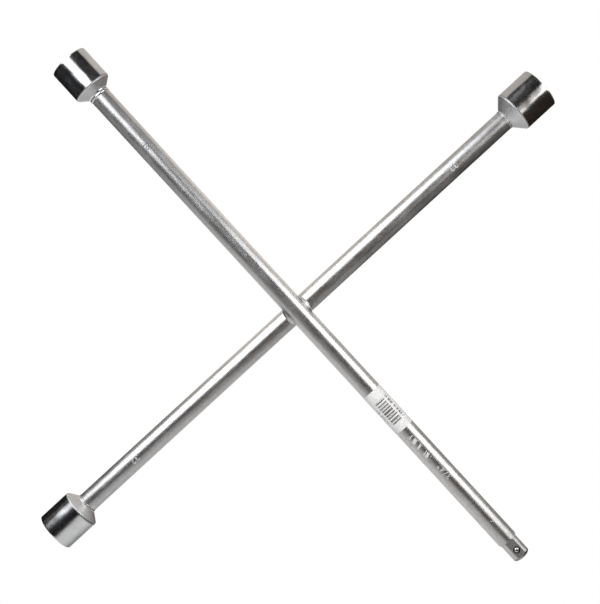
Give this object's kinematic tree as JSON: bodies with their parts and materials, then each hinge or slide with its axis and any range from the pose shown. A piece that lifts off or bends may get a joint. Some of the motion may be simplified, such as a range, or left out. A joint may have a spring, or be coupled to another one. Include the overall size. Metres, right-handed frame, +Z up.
{
  "type": "lug wrench",
  "caption": "Four-way chromed lug wrench for trucks: crossed round bars with hexagon sockets and a square drive with a sprung detent ball.",
  "frame": {"origin": "on the ground under the crossing of the two bars", "axes": "+X along the front (upper) bar from the 30 mm socket to the square drive, +Y along the rear (lower) bar from the 32 mm socket to the 33 mm socket, +Z up, from the rear bar to the front bar"},
  "size_m": [0.7002, 0.6941, 0.0609],
  "materials": {
    "chrome_bar": "chrome plate over a rolled, slightly pitted bar",
    "chrome_socket": "polished chrome body with a satin turned shoulder",
    "chrome_weld": "chrome plate over rough weld flash",
    "steel_ball": "polished hardened steel",
    "spring_wire": "drawn spring wire",
    "label_paper": null
  },
  "bodies": {
    "wrench": {"front_bar": "chrome_bar", "rear_bar": "chrome_bar", "socket_30": "chrome_socket", "socket_32": "chrome_socket", "socket_33": "chrome_socket", "neck_weld_30": "chrome_weld", "neck_weld_32": "chrome_weld", "neck_weld_33": "chrome_weld", "cross_weld": "chrome_weld", "detent_spring": "spring_wire", "price_label": "label_paper"},
    "ball": {"detent_ball": "steel_ball"}
  },
  "joints": [
    {"name": "detent_ball_slide", "type": "slide", "parent": "wrench", "child": "ball", "axis": [0, 0, -1], "range_m": [0, 0.0013], "stiffness_N_per_m": 3000, "springref_m": -0.002, "deforming": ["detent_spring"]}
  ]
}
